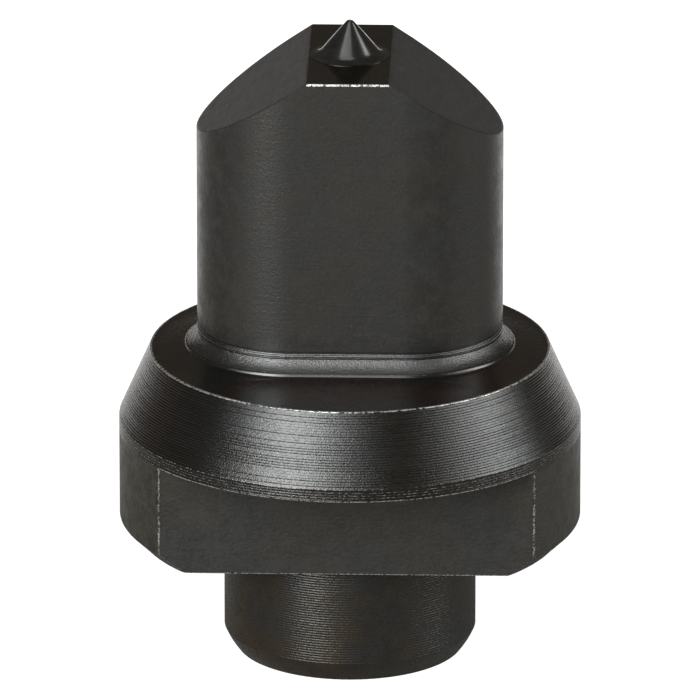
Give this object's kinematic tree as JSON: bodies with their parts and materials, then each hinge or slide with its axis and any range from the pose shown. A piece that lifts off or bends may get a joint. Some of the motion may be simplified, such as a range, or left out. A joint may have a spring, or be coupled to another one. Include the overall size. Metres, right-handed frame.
{
  "type": "oblong hole punch",
  "caption": "Dark steel oblong punch with a roof-ground cutting face, conical centre point, flatted collar and round shank, for a portable steel hole puncher.",
  "frame": {"origin": "centre of the shank's end face, at the bottom of the part", "axes": "+Z along the punch towards the cutting face, X along the oblong's long side, -Y out of the front flat"},
  "size_m": [0.0334, 0.0334, 0.0473],
  "materials": {
    "body_steel": "black oxide over turned and ground steel, edges worn bright",
    "point_steel": "ground and oiled dark steel, glossy"
  },
  "bodies": {
    "root": {"punch_body": "body_steel", "centre_point": "point_steel"}
  },
  "joints": []
}
